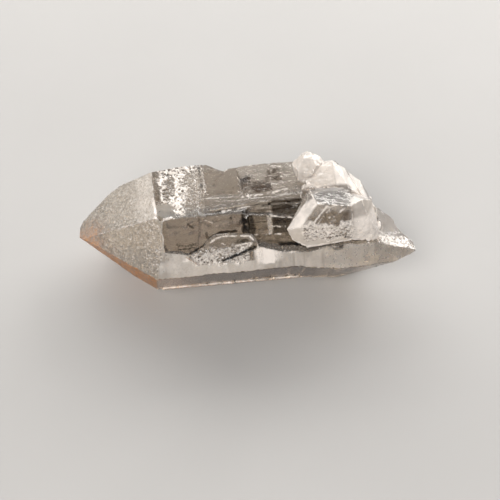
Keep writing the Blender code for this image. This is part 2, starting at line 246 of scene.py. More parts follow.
def facet_kind(normal, centre):
    """(kind, azimuth) of a facet; kind is prism, point, break, cluster or wall."""
    if in_cluster(centre):
        return "cluster", 0
    if max(normal @ (np.array(b) / np.linalg.norm(b)) for b in BREAKS) > SAME_FACE:
        return "break", 0
    for azimuth in PRISM:
        if normal @ direction(azimuth, RHOMB_SLOPE) > SAME_FACE and centre[0] < POINT_ENDS:
            return "point", azimuth
        if normal @ direction(azimuth) > GROWTH_STEP:
            return "prism", azimuth
    x, w, _ = place_on(FRONT, centre)
    if x > SIDE_WALL_X and w > SIDE_WALL_W and normal[2] < LEVEL:
        return "cluster", 0
    return "wall", 0


# ------ the surface and its noise

GRAINS = {
    # size of the noise's features in millimetres, seed, octaves and, where it has one, stretch
    "glints": (0.6, 29, 4),
    "glint gaps": (0.75, 30, 3),
    "borders": (1.6, 3, 4),
    "worn": (1.2, 33, 3),
    "stain border": (2.2, 9, 4),
    "stain streaks": (1.3, 12, 4, (2.5, 1.0, 1.0)),
    "etch": (0.55, 21, 3),
    "swell": (2.6, 22, 2),
    "pits": (0.8, 23, 2),
    "striae": (0.75, 24, 3, (1.0, 14.0, 14.0)),
    "streaks": (0.55, 25, 3, (16.0, 1.0, 1.0)),
    "ripple drift": (4.0, 26, 2),
    "ripple strength": (3.0, 27, 2),
    "lumps": (1.1, 28, 3),
    "bruises": (1.0, 31, 3),
}
GRAIN_ROUGHNESS, GRAIN_STEP = 0.7, 2.1  # of the noise's octaves
SEED_SHIFT = np.array((17.1, -9.3, 5.7))
RIDGE_RISE = (0.004, 0.022)  # mm that a point stands above its neighbours, on an edge that can wear


def ramp(value, low, high):
    """0 up to low, 1 from high and a smooth rise between them."""
    t = np.clip((value - low) / (high - low), 0, 1)
    return t * t * (3 - 2 * t)


def window(value, limits, soft):
    """1 between the limits, falling to 0 over soft on either side."""
    low, high = limits
    return ramp(value, low - soft, low + soft) * (1 - ramp(value, high - soft, high + soft))


def grain(points, size, seed, octaves, stretch=(1.0, 1.0, 1.0)):
    """Fractal noise of about -1 to 1, with features of that size in millimetres."""
    shifted = points / (size * np.array(stretch)) + SEED_SHIFT * seed
    return np.array([noise.fractal(Vector(p), GRAIN_ROUGHNESS, GRAIN_STEP, octaves) for p in shifted])


def ridged(value):
    """1 along the zero lines of a noise, falling to either side."""
    return 1 - 2 * np.abs(value)


class Surface:
    """The fine mesh with what each point needs to know about the faces around it."""

    def __init__(self, node):
        bm = flat_facets(node)
        bm.faces.index_update()
        bm.verts.index_update()
        self.points, self.triangles, self.facets = fine_mesh(bm)
        self.facet_normals = np.array([tuple(f.normal) for f in bm.faces])
        centres = np.array([tuple(f.calc_center_median()) for f in bm.faces])
        bm.free()
        self.kinds = [facet_kind(n, c) for n, c in zip(self.facet_normals, centres)]
        self.corners = self.triangles.ravel()
        self.per_point = np.bincount(self.corners, minlength=len(self.points))
        self.places = {azimuth: face_places(azimuth, self.points) for azimuth in PRISM}
        total = self.spread_vectors(self.facet_normals[self.facets])
        self.flatness = np.linalg.norm(total, axis=1)  # 1 where the faces around a point are parallel
        self.normals = total / np.maximum(self.flatness[:, None], 1e-6)
        rise = self.spread_vectors(self.points[self.triangles].mean(1)) - self.points
        self.ridge = ramp(-(rise * self.normals).sum(1), *RIDGE_RISE)
        gaps = ramp(self.grain("glint gaps"), 0.05, 0.45)
        self.broken = ridged(self.grain("glints")) - 0.9 * gaps  # relief of the glittering patches

    def grain(self, name):
        """One of the GRAINS at each point."""
        return grain(self.points, *GRAINS[name])

    def spread(self, per_triangle):
        """Mean of a triangle value over the triangles at each point."""
        weights = np.repeat(per_triangle.astype(float), 3)
        return np.bincount(self.corners, weights, len(self.points)) / np.maximum(self.per_point, 1)

    def spread_vectors(self, per_triangle):
        """The same for a vector per triangle."""
        return np.stack([self.spread(per_triangle[:, i]) for i in range(3)], 1)

    def share(self, kind, azimuth, facing=None):
        """How much of each point belongs to such facets; only prism and point have azimuths."""
        any_azimuth = kind not in ("prism", "point")
        chosen = np.array([k == kind and (any_azimuth or a == azimuth) for k, a in self.kinds])
        if facing is not None:
            wanted = np.array(facing) / np.linalg.norm(facing)
            chosen &= self.facet_normals @ wanted > SAME_SIDE
        return self.spread(chosen[self.facets])


# ------ finishes

# frost: etched and rough, milk: cloudy white and, in places, painted highlights and glints, smoke:
# uneven brown, dark: painted deep shade, specks: dark flecks, grit: a sugary sparkle, glitter: broken
# relief with painted glints whitening its high places and painted shade darkening its low ones,
# stain: rust
LOOKS = ("frost", "milk", "smoke", "dark", "specks", "grit", "glitter", "stain")
# etch: fine pitting, striae: lines across the prism, streaks: lines along it, ripples: shell-like
# rings, lumps: low bumps
RELIEFS = ("etch", "striae", "streaks", "ripples", "lumps")
WEAR = "wear"  # how white the sharp edges are

# Limits of the zones in millimetres: none, then the heights of the steps over their face
ALL = (-99, 99)
HOLLOWS = (-2, -0.1)
RIM, LOW_RIM = (-0.2, 0.6), (-0.4, 0.6)
PANE = (-0.8, -0.25)
RECESS, DEEP_RECESS = (-2.6, -0.7), (-2.9, -0.7)
ISLAND = (0.15, 0.6)
LEDGE = (-0.4, 0.8)
TABLE, TABLE_TOP = (0.4, 5), (2.4, 5)
TABLE_FACE = (0, -0.866, 0.5)  # the direction of the table crystal's flat front


def zone(kind, azimuth, x=ALL, w=ALL, h=ALL, soft=0.4, ragged=0.0, facing=None, **finish):
    """Part of one kind of face: its limits, how soft and ragged its border is, and its finish."""
    return kind, azimuth, facing, (x, w, h), soft, ragged, finish


prism = partial(zone, "prism")
top = partial(prism, TOP)
front = partial(prism, FRONT)
point = partial(zone, "point")
wall = partial(zone, "wall")
cluster = partial(zone, "cluster")

ZONES = [
    # the whole stone, then each face: later zones cover earlier ones
    top(frost=0.45, milk=0.1, etch=0.3, striae=0.5, wear=0.5),
    front(frost=0.6, milk=0.4, etch=0.4, striae=0.9, wear=0.6),
    prism(UNDER, frost=0.3, milk=0.1, smoke=0.5, stain=0.25, etch=0.2, striae=1.0, wear=0.3),
    prism(UNDER, x=(-22, -8), frost=0.25, milk=0.0, smoke=0.6, stain=0.55, soft=4.0),
    prism(UNDER, x=(-12, 15), frost=0.2, milk=0.0, smoke=1.0, dark=0.4, specks=0.6, stain=0.38, soft=5.0),
    prism(UNDER, x=(15, 40), milk=0.0, smoke=0.5, dark=0.0, specks=0.0, stain=0.2, soft=3.0),
    prism(BACK_UP, frost=0.45, milk=0.15, etch=0.4, striae=0.9, wear=0.6),
    prism(BACK, frost=0.35, milk=0.06, smoke=0.15, etch=0.3, striae=1.0, wear=0.6),
    prism(BOTTOM, frost=0.25, milk=0.02, smoke=0.55, specks=0.6, etch=0.2, striae=0.6),
    zone("break", TOP, frost=0.35, milk=0.25, etch=0.3, ripples=1.0, wear=0.5),
    wall(TOP, frost=0.2, milk=0.05, smoke=0.4, etch=0.3, streaks=0.4, wear=0.2),
    # painted shade on the wall in the cleft under the table crystal
    wall(FRONT, x=(4.5, 24), w=(-4.5, -1.8), frost=0.1, dark=0.95),
    wall(FRONT, x=(-19, -9), w=(-2.8, 7), frost=0.3, milk=0.15, smoke=0.3),
    # painted shade on the walls beside the island and by the pane
    wall(FRONT, x=(-16.4, -12), w=(-2.8, -0.4), dark=0.7, ragged=0.9),
    wall(FRONT, x=(-1.4, 1.2), w=(0.2, 6), dark=0.85),
    cluster(TOP, frost=0.35, milk=0.55, etch=0.4, lumps=0.5, wear=1.0),
    # termination
    point(TOP, frost=1.0, milk=0.12, etch=1.2, grit=0.8, wear=0.8),
    point(FRONT, frost=0.95, milk=0.1, etch=1.6, grit=0.8, stain=0.05, wear=0.6),
    point(TOP, x=(-26.5, -18), milk=0.24, grit=1.0, soft=3.0, ragged=0.6),
    point(TOP, x=(-22.5, -18), milk=0.6, grit=1.0, soft=2.0, ragged=0.6),
    point(TOP, x=(-26, -18), w=(-6, -3), glitter=0.4, soft=1.0, ragged=1.0),
    point(FRONT, x=(-22.5, -17), w=(-5, 5.4), milk=0.15, grit=1.0, glitter=0.45, soft=1.8, ragged=1.6),
    point(UNDER, frost=0.9, milk=0.0, smoke=0.8, etch=0.6, striae=0.5, wear=0.1),
    point(BOTTOM, frost=0.9, milk=0.0, smoke=0.8, etch=0.6, wear=0.1),
    point(BACK, frost=0.8, milk=0.3, etch=1.0, grit=0.8, wear=0.6),
    point(BACK_UP, frost=0.9, milk=0.4, etch=1.0, grit=0.8, wear=0.6),
    # the top face: a glittering patch, a grey half, then clear hollows
    top(x=(-19.5, -9.4), frost=0.5, milk=0.04, smoke=0.1, etch=0.9, striae=0.4, grit=0.45, soft=0.3),
    top(x=(-13, -9.6), w=(-5.4, 9), glitter=0.22, soft=0.8, ragged=0.8),
    top(x=(-19.5, -17.4), frost=0.25, milk=0.0, smoke=0.5, etch=0.3, grit=0.0, soft=0.2, ragged=0.3),
    top(x=(-19.5, -15.2), w=(-6.4, -2.4), frost=0.6, milk=0.05, smoke=0.1, etch=0.3, grit=0.0, ragged=0.5),
    top(x=(-17.6, -9.6), w=(6.2, 9.9), glitter=0.95, milk=0.5, etch=0.6, ragged=1.0, soft=0.5),
    top(x=(-17.5, -12.4), w=(-2.3, 9.9), glitter=1.0, milk=0.5, etch=0.6, ragged=1.2, soft=0.5),
    top(x=(-14.9, -12.6), w=(-5.8, -1), glitter=1.0, milk=0.6, etch=0.6, ragged=0.8),
    top(x=(-16.2, -14.8), w=(-0.6, 4.2), glitter=0.15, milk=0.0, smoke=0.6, ragged=0.9, soft=0.3),
    top(x=(-8.6, -1), w=(-0.9, 9), h=(-2, -0.3), frost=0.1, milk=0.08, etch=0.1, striae=0.2, wear=0.1),
    top(x=(-1.6, 11), w=(-1.6, 9), h=HOLLOWS, frost=0.2, milk=0.18, specks=0.25, etch=0.5, striae=0.3,
        streaks=0.3, lumps=0.1, wear=0.1),
    top(x=(-1.1, 5), w=(-1.2, 2), h=HOLLOWS, smoke=0.8, specks=1.0, dark=0.24, stain=0.2, soft=0.3,
        ragged=0.5),
    top(x=(-1.1, 1.8), w=(1.2, 3.2), h=HOLLOWS, smoke=0.85, specks=1.0, dark=0.25, stain=0.2, soft=0.3,
        ragged=0.5),
    top(x=(4, 7.8), w=(1.6, 4.4), h=HOLLOWS, smoke=0.6, specks=1.0, dark=0.18, stain=0.2, ragged=1.2),
    top(x=(-9, 12), w=(-7, -1.2), frost=0.35, milk=0.15, smoke=0.25, specks=0.5, etch=0.5, streaks=0.9,
        wear=0.7),
    # the front face: a pale rim, the pane, the deeper recess, the raised island and a painted
    # highlight on the ledge
    front(x=(-20, -16), w=(-3, 9), h=RIM, frost=0.95, milk=0.24, etch=1.7, grit=1.0),
    front(x=(-17, 2), w=(-9, -1), h=RIM, frost=0.8, milk=0.72, etch=0.7, striae=0.9, grit=0.6, soft=1.2),
    front(x=(4, 14), w=(-9, -1), h=LOW_RIM, frost=0.65, milk=0.55, etch=0.5, striae=0.9, streaks=0.6,
          grit=0.5, soft=1.6),
    front(x=(14, 40), w=(-9, -1), h=LOW_RIM, frost=0.45, milk=0.4, smoke=0.1, etch=0.3, striae=0.5,
          streaks=0.4, soft=4.0),
    front(x=(23, 40), w=(-9, -1), h=LOW_RIM, milk=0.15, smoke=0.3, soft=2.5),
    front(x=(-17.5, 0.2), w=(-1.9, 8), h=PANE, frost=0.12, milk=0.0, smoke=0.24, stain=0.12, specks=0.2,
          etch=0.1, striae=0.3, soft=0.15, wear=0.2),
    front(x=(-4.4, -1.7), w=(1.6, 8), h=PANE, smoke=0.55, soft=0.15, ragged=0.2),
    # painted shade in the pane: a dark column and a ragged dark patch
    front(x=(-1.9, -0.3), w=(1.2, 6), h=PANE, dark=0.85, soft=0.2, ragged=0.5),
    front(x=(-15.4, -11.5), w=(-1.3, 0.3), h=PANE, dark=0.7, ragged=2.2, soft=0.3),
    front(x=(-0.6, 28), w=(-4, 8.9), h=RECESS, frost=0.1, milk=0.0, smoke=0.85, specks=0.6, etch=0.1,
          streaks=0.8, soft=0.15, wear=0.1),
    front(x=(0.3, 2.6), w=(-0.2, 5.2), h=RECESS, smoke=0.7, soft=0.2, ragged=0.2),
    # painted shade in the deep recess, over smoky stone
    front(x=(4.3, 12), w=(0.6, 8.9), h=DEEP_RECESS, smoke=1.0, dark=0.45, soft=0.2, ragged=0.3),
    front(x=(3.2, 4.2), w=(0.4, 5.2), h=RECESS, frost=0.5, milk=0.35, smoke=0.1, specks=0.2, soft=0.15,
          ragged=0.2),
    front(x=(-0.6, 4.2), w=(5.4, 8.9), h=(-2.9, -0.9), frost=0.4, milk=0.25, smoke=0.5, streaks=0.9,
          soft=0.3, ragged=0.4),
    # painted shade in the recess, darkest in the cleft under the table crystal
    front(x=(-0.4, 0.6), w=(0.4, 4.8), h=RECESS, dark=0.6, ragged=0.3, soft=0.2),
    front(x=(5.2, 18), w=(-4, -1.5), h=RECESS, dark=0.95, ragged=0.4, soft=0.3),
    front(x=(-13, 0.8), w=(-4.2, 1.8), h=ISLAND, frost=0.35, milk=0.16, smoke=0.3, specks=0.5, etch=0.5,
          streaks=0.9, soft=0.1, wear=0.5),
    front(x=(-12.5, -1.2), w=(-4.4, -1), frost=0.5, glitter=0.8, milk=0.7, ragged=0.8, soft=0.5),
    front(x=(-3.2, -1), w=(-0.5, 0.6), h=ISLAND, dark=0.7, ragged=1.2, soft=0.3),
    # painted highlight: a soft milky patch on the ledge with a bright white middle, standing for light
    # reflected inside the stone
    front(x=(0.4, 5.6), w=(-4.8, -1.5), h=LEDGE, frost=0.5, milk=0.85, soft=0.5, ragged=0.5),
    front(x=(1.9, 4.1), w=(-5.2, -1.5), h=LEDGE, frost=0.3, milk=1.0, soft=0.15, ragged=0.15),
    # the small crystals
    cluster(FRONT, x=(6, 20), w=(0.4, 8.2), h=TABLE, frost=0.2, milk=0.5, smoke=0.15, specks=0.2, etch=0.3,
            lumps=0.3, facing=TABLE_FACE),
    cluster(FRONT, x=(11.2, 19.2), w=(2, 6.2), h=TABLE_TOP, frost=0.12, milk=0.1, smoke=0.3, specks=0.3,
            etch=0.2, lumps=0.2, soft=0.6, ragged=0.7, facing=TABLE_FACE),
    cluster(FRONT, x=(9, 19.4), w=(2, 3.5), h=TABLE_TOP, glitter=0.65, milk=1.0, smoke=0.0, soft=0.4,
            ragged=1.0, facing=TABLE_FACE),
    cluster(FRONT, x=(10, 19.4), w=(5.6, 9.9), frost=0.25, milk=0.3, smoke=0.15, streaks=0.5, etch=0.3,
            soft=0.5, ragged=0.8),
    cluster(FRONT, x=(5, 13), frost=0.3, milk=0.85, facing=(-0.7, -0.12, 0.7)),
    cluster(FRONT, x=(8, 20), w=(-0.8, 2.6), h=(0, 5), frost=0.3, milk=0.8, smoke=0.0, specks=0.4,
            glitter=0.9, ragged=0.8, facing=(0, -0.98, -0.1)),
    cluster(TOP, x=(10, 17.6), w=(-3, 9), h=(0, 6), frost=0.4, milk=0.7, stain=0.04, etch=0.8, lumps=0.9),
    cluster(TOP, x=(17.7, 23), w=(-4, 9), h=(-1, 6), frost=0.35, milk=0.85, etch=0.6, lumps=0.7,
            soft=0.12),
    cluster(TOP, x=(11, 20.5), w=(-7.6, -2.6), h=(-1, 6), frost=0.3, milk=0.25, specks=0.3, etch=0.4,
            lumps=0.4),
    cluster(TOP, x=(19.6, 29), h=(-20, 0.6), frost=0.45, milk=0.95, etch=0.6, lumps=1.0),
    zone("break", TOP, x=(24.5, 32.5), w=(-14, -8), frost=0.4, milk=0.65, glitter=0.8, ragged=1.2,
         soft=0.6),
]

# Cracks, edges and painted glints that show as lines: the face, their height over it, the places they
# pass as (x, w) or (x, w, height), half their width, how broken up they are and what they look like
WHITE = {"milk": 1.0, "frost": 0.4, "dark": 0.0, "smoke": 0.0}
PALE = {"milk": 0.7, "frost": 0.4, "dark": 0.0, "smoke": 0.0}
DARK = {"dark": 0.9, "milk": 0.0}
BROWN = {"dark": 0.45, "smoke": 0.6, "milk": 0.0}
POINT_EDGE = [(-18.8, -5.94, 0), (-26.4, -2.55, -6), (-32.5, 0.16, -10.8)]
LINES = [
    (TOP, 0, POINT_EDGE, 0.16, 0.6, PALE),
    (TOP, 0, [(-9.2, 7.4), (-9.1, 3.4), (-9, 0.5)], 0.18, 0.3, BROWN),
    (TOP, 0, [(-8.5, 7.2), (-8.45, 3), (-8.4, -0.6)], 0.15, 0.5, PALE),
    # a painted glint along the edge of the top face
    (TOP, 0, [(-17.6, -6.7), (-16.8, -6.5), (-15.7, -6.1)], 0.3, 0.0, WHITE),
    (TOP, 0, [(-19.2, -0.6), (-19, -2.6), (-18.9, -4.2), (-18.9, -5.9)], 0.38, 0.2, WHITE),
    (TOP, 0, [(-19, 3.4), (-18.95, 1.4), (-19, -0.6)], 0.16, 0.5, PALE),
    (FRONT, 0, [(-18.1, 5.5), (-17.7, 5), (-17.5, 4.4), (-17.5, 2.4), (-17.7, 0.2)], 0.2, 0.3, PALE),
    (TOP, -0.3, [(-7.2, -0.9), (-4.6, -0.7), (-2, -1)], 0.22, 0.8, BROWN),
    (TOP, 0, [(-5.7, -5.6), (-1.5, -5), (2.5, -4.3)], 0.22, 0.6, WHITE),
    (TOP, 0, [(-3.6, -4.6), (0, -3.7), (2.6, -3)], 0.2, 0.7, PALE),
    (TOP, 0, [(-1.4, -6.3), (1.2, -5.6), (3.9, -4.6)], 0.32, 0.3, DARK),
    (TOP, 0, [(-7.6, -4.2), (-5.4, -4.1), (-3.4, -3.8)], 0.16, 0.6, WHITE),
    (TOP, 0, [(-1, -2.2), (2, -1.9), (5, -1.5), (8, -0.8)], 0.35, 0.5, PALE),
    (FRONT, -0.45, [(-9.2, 4.9), (-7.8, 4.2)], 0.1, 0.4, PALE),
    (FRONT, -0.45, [(-11.6, 1.3), (-12.8, 1.2), (-13.9, 0.6)], 0.1, 0.7, PALE),
    (FRONT, -0.45, [(-12.9, -2), (-9.9, -0.4), (-8.3, 1.3), (-6.2, 2.1), (-3.2, 2.1)], 0.17, 0.3, DARK),
    (FRONT, -0.45, [(-4.2, 5.7), (-4, 4.9), (-3.9, 4)], 0.12, 0.6, BROWN),
    (FRONT, -0.45, [(-10.3, 5.7), (-10.4, 4.8)], 0.12, 0.5, BROWN),
    (FRONT, -0.45, [(-9.2, 2.4), (-9, 1.2)], 0.2, 0.4, BROWN),
    (FRONT, -0.45, [(-12.6, 4.3), (-11.7, 3.5)], 0.16, 0.4, BROWN),
    # painted glints in the recess: white lines and a bright spot
    (FRONT, -1.2, [(4.2, 4.3), (6.2, 3.9), (8.2, 3.6)], 0.18, 0.5, WHITE),
    (FRONT, -1.2, [(4.1, 2.2), (5.4, 2), (6.8, 1.8)], 0.18, 0.4, PALE),
    (FRONT, -1.2, [(0.6, 0.7), (3, 0.6), (5.8, 0.4)], 0.16, 0.5, PALE),
    (FRONT, -1.2, [(3.6, 5.2), (4.2, 4.8)], 0.4, 0.0, WHITE),
    (FRONT, 0.35, [(-8.4, 0.5), (-7.4, 1.2), (-5.6, 1.5), (-0.6, 1.1), (0, 0.2)], 0.15, 0.4, WHITE),
    (FRONT, 0.35, [(-6.4, 0.2), (-5.4, -0.6), (-4.6, -1.3)], 0.13, 0.4, WHITE),
    (FRONT, 0.35, [(-3.6, -0.8), (-1.8, -0.5), (-0.2, -0.4)], 0.18, 0.2, WHITE),
    (FRONT, 0.35, [(-2.4, -1.3), (-0.8, -0.9), (0.4, -0.7)], 0.18, 0.3, WHITE),
    (FRONT, 0.3, [(-6.2, -3.6), (-2.8, -2.5), (0.4, -1.3)], 0.22, 0.1, DARK),
    (FRONT, 0.05, [(-6, -4.3), (-2.6, -3.1), (0.8, -1.9)], 0.24, 0.3, WHITE),
    (FRONT, 0, [(5.2, -3), (6.8, -3), (8.3, -3.4)], 0.2, 0.5, WHITE),
    (FRONT, 0, [(-14.4, -2.8), (-13, -3.2), (-12.4, -3.8)], 0.35, 0.6, WHITE),
    # painted glints in streaks over the table crystal's window
    (FRONT, 4, [(11.6, 3.4), (12.2, 4.3), (14.6, 7.1)], 0.16, 0.4, WHITE),
    (FRONT, 4, [(12.6, 3.6), (13.6, 4.9), (15.4, 6.8)], 0.12, 0.6, PALE),
    (FRONT, 4, [(13.4, 6.4), (14.6, 6.8), (16.3, 7.2)], 0.16, 0.5, PALE),
    (FRONT, 4, [(15.7, 4.8), (16.8, 5.5), (18, 6.4)], 0.14, 0.5, WHITE),
    (FRONT, 4, [(14, 3.6), (14.9, 4.6), (16, 5.6)], 0.12, 0.7, PALE),
    (FRONT, 4, [(9.6, 3.2), (10.8, 3.4), (12, 3.6)], 0.25, 0.6, PALE),
    (FRONT, 0, [(22.4, 1, 2.8), (23.8, 0.5, 1.9), (25.3, -0.3, 0.9)], 0.22, 0.3, WHITE),
    (FRONT, 0, [(24.8, 3.3, 1), (25.1, 1.5, 1), (25.3, -0.3, 0.9), (25.1, -2.1, 0.5)], 0.26, 0.2, WHITE),
    (FRONT, 0, [(19.9, -1.4, 0.9), (21.1, -0.2, 1.9), (22.3, 0.9, 2.8)], 0.16, 0.6, WHITE),
    # more painted glint streaks on the table crystal
    (FRONT, 3.6, [(11, 6.3), (12.6, 7.6), (14.6, 8.6)], 0.16, 0.3, WHITE),
    (FRONT, 3.6, [(13.6, 7.4), (15.6, 8.2), (17.6, 8.6)], 0.14, 0.5, WHITE),
    (FRONT, 3.6, [(12, 7.9), (13.4, 8.5), (14.8, 9.3)], 0.14, 0.5, PALE),
    (TOP, 1.5, [(12.4, 1.8), (13.8, 3.2), (14.8, 4.4)], 0.16, 0.4, WHITE),
    (TOP, 1.5, [(11, 3.2), (12.2, 3.6), (13.2, 4.6)], 0.16, 0.5, WHITE),
    (FRONT, 0.7, [(7.2, 0.9), (7.9, -0.4), (10.6, -2.2), (14.5, -2), (20, -1.5), (24.8, -1.8)],
     0.5, 0.2, WHITE),
    (UNDER, 0.25, [(-19, -4.2), (-10.8, -5), (-2.4, -5), (6, -5.2), (13, -5.4)], 0.6, 0.2, WHITE),
]
LINE_SEED = 50  # of the first line; each line has its own
LINE_MARGIN = 2.0  # mm around a line that are looked at
LINE_WANDER = (0.12, 0.8)  # mm that a line's border wanders, and over what length
LINE_GAPS = 1.1  # mm, about the length of the gaps in a line
LINE_FADE = (0.6, 1.5)  # a line fades out between these shares of its half width

STAIN_TIP, STAIN_REACH = (-34.2, -1.0, -1.6), 7.48  # where the rust is deepest, and how far it goes
STAIN_WANDER = 2.2
TIP_STAIN, UNDERSIDE_STAIN, STREAK_STAIN = 0.85, 0.80, 0.40


def along_line(surface, azimuth, height, line, half_width, broken, seed):
    """The points near a line on a face, and how much of each the line takes up."""
    places = np.stack(surface.places[azimuth], 1)
    ends = [np.array((*place, height)[:3]) for place in line]
    low, high = np.min(ends, 0) - LINE_MARGIN, np.max(ends, 0) + LINE_MARGIN
    near = np.nonzero(((places > low) & (places < high)).all(1))[0]
    nearest = np.full(len(near), np.inf)
    for a, b in zip(ends, ends[1:]):
        along = b - a
        t = np.clip((places[near] - a) @ along / (along @ along), 0, 1)
        nearest = np.minimum(nearest, np.linalg.norm(places[near] - a - t[:, None] * along, axis=1))
    points = surface.points[near]
    wander, length = LINE_WANDER
    nearest = nearest + wander * grain(points, length, seed, 2)
    kept = ramp(grain(points, LINE_GAPS, seed + 0.5, 3), broken - 0.8, broken - 0.4)
    core, rim = LINE_FADE
    return near, (1 - ramp(nearest, half_width * core, half_width * rim)) * kept


def lay_zones(surface, values):
    """Sets the looks and reliefs zone by zone."""
    uneven = surface.grain("borders")
    for kind, azimuth, facing, places, soft, ragged, finish in ZONES:
        weight = surface.share(kind, azimuth, facing)
        for value, limits in zip(surface.places[azimuth], places):
            if limits != ALL:
                weight = weight * window(value + uneven * ragged, limits, soft)
        for name, value in finish.items():
            values[name] += (value - values[name]) * weight


def lay_lines(surface, values):
    """Draws the lines over the zones."""
    for number, (azimuth, height, line, half_width, broken, finish) in enumerate(LINES):
        near, weight = along_line(surface, azimuth, height, line, half_width, broken, LINE_SEED + number)
        for name, value in finish.items():
            values[name][near] += (value - values[name][near]) * weight


def lay_glitter(surface, values):
    """Painted glints and shade: whitens the glittering patches' high places, clears and darkens the low
    ones.
    """
    glitter = values["glitter"] ** 2
    high = glitter * ramp(surface.broken, -0.05, 0.45)
    low = glitter * ramp(-surface.broken, 0.0, 0.45)
    values["milk"] += (1.0 - values["milk"]) * high
    values["milk"] *= 1 - low
    values["smoke"] += (1.0 - values["smoke"]) * low


def lay_wear(surface, values):
    """Whitens the sharp edges here and there."""
    worn = surface.ridge * ramp(surface.grain("worn"), -0.5, 0.3) * values[WEAR]
    values["milk"] = np.maximum(values["milk"], worn)
    values["frost"] = np.maximum(values["frost"], worn * 0.6)
    values["smoke"] *= 1 - worn


def iron_stain(surface):
    """Rust around the tip and, in streaks, on the termination's lower faces."""
    away = np.linalg.norm(surface.points - np.array(STAIN_TIP), axis=1)
    wander = surface.grain("stain border")
    at_tip = TIP_STAIN * (1 - ramp(away + wander * STAIN_WANDER, 0.0, STAIN_REACH))
    low = surface.share("point", UNDER) + surface.share("point", BOTTOM)
    streaky = ramp(surface.grain("stain streaks"), -0.5, 0.5)
    return np.clip(at_tip + low * (UNDERSIDE_STAIN + STREAK_STAIN * streaky), 0, 1)


def finishes(surface):
    """A value of every look and relief at each point."""
    values = {name: np.zeros(len(surface.points)) for name in (*LOOKS, *RELIEFS, WEAR)}
    lay_zones(surface, values)
    lay_lines(surface, values)
    lay_glitter(surface, values)
    lay_wear(surface, values)
    values["stain"] = np.maximum(values["stain"], iron_stain(surface))
    return values


# ------ relief

RELIEF_DEPTH = 0.05  # mm for a relief of 1
GLITTER_DEPTH = 0.13
CHIP_DEPTH = 0.22
RIPPLE_LENGTH = 1.15
RIPPLE_CENTRE = np.array((24.0, -6.0, -14.0))
RIPPLE_DRIFT = 0.7
FLAT_GLITTER = 0.45  # triangles that glitter more are shaded flat
SHARP_ANGLE = 26  # degrees
# An edge worn round: azimuth, slope and distance of its two faces, how far the rounding reaches,
# and the stretch along w on the front face where it fades in
WORN_FACES = (POINT_FRONT, (FRONT, 0.0, PRISM[FRONT]))
WORN_REACH = 2.4
WORN_DEPTH = -0.6  # points further inside both faces stay
WORN_FROM = (-6.0, -2.5)


def worn_edge(surface):
    """How far the edge between two faces is rounded off, in millimetres, as a height."""
    a, b = (surface.points @ direction(azimuth, slope) - out for azimuth, slope, out in WORN_FACES)
    near = np.clip(1 - np.abs(a - b) / WORN_REACH, 0, 1) * (np.maximum(a, b) > WORN_DEPTH)
    return -near**2 * WORN_REACH / 4 * ramp(surface.places[FRONT][1], *WORN_FROM)


def ripples(surface):
    """Shell-like rings about one place, as on fresh breaks."""
    away = np.linalg.norm(surface.points - RIPPLE_CENTRE, axis=1)
    away = away + RIPPLE_DRIFT * surface.grain("ripple drift")
    strength = 0.6 + 0.6 * surface.grain("ripple strength")
    return np.sin(away * 2 * math.pi / RIPPLE_LENGTH) * strength


def heights(surface, values):
    """How far each point stands out along its normal, in millimetres."""
    pits = ramp(surface.grain("pits"), 0.25, 0.6)
    fields = {
        "etch": surface.grain("etch") * 0.8 + surface.grain("swell") * 0.9 - pits,
        "striae": surface.grain("striae"),
        "streaks": surface.grain("streaks"),
        "ripples": ripples(surface),
        "lumps": surface.grain("lumps") * 2.2,
    }
    height = sum(values[name] * field for name, field in fields.items()) * RELIEF_DEPTH
    return height + values["glitter"] * surface.broken * GLITTER_DEPTH


def edge_chips(surface):
    """Small bruises along the sharp edges, where facets of different directions meet."""
    on_edge = ramp(1 - surface.flatness, 0.02, 0.10)
    bruised = ramp(surface.grain("bruises"), 0.05, 0.65)
    return -on_edge * bruised * CHIP_DEPTH


def held_in_box(points):
    """Points in metres, kept in the CAD box."""
    return np.clip(points, np.array(cad_box[0]), np.array(cad_box[1]))


def placed_object(name, data):
    """An object of that name in the scene."""
    obj = bpy.data.objects.new(name, data)
    bpy.context.scene.collection.objects.link(obj)
    return obj


def crystal():
    """The crystal with its relief, and its looks stored at every point."""
    surface = Surface(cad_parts[NODE])
    values = finishes(surface)
    height = heights(surface, values) + edge_chips(surface) + worn_edge(surface)
    placed = (surface.points + surface.normals * height[:, None] + AXIS) * MM
    mesh = bpy.data.meshes.new("quartz")
    mesh.from_pydata(held_in_box(placed).tolist(), [], surface.triangles.tolist())
    mesh.shade_smooth()
    glitter = values["glitter"][surface.triangles].mean(1)
    mesh.polygons.foreach_set("use_smooth", glitter < FLAT_GLITTER)
    mesh.set_sharp_from_angle(angle=math.radians(SHARP_ANGLE))
    for name in LOOKS:
        attribute = mesh.attributes.new(name, "FLOAT", "POINT")
        attribute.data.foreach_set("value", np.clip(values[name], 0, 1).astype(np.float32))
    return placed_object("quartz_crystal", mesh)


# ------ veils inside the stone, in millimetres

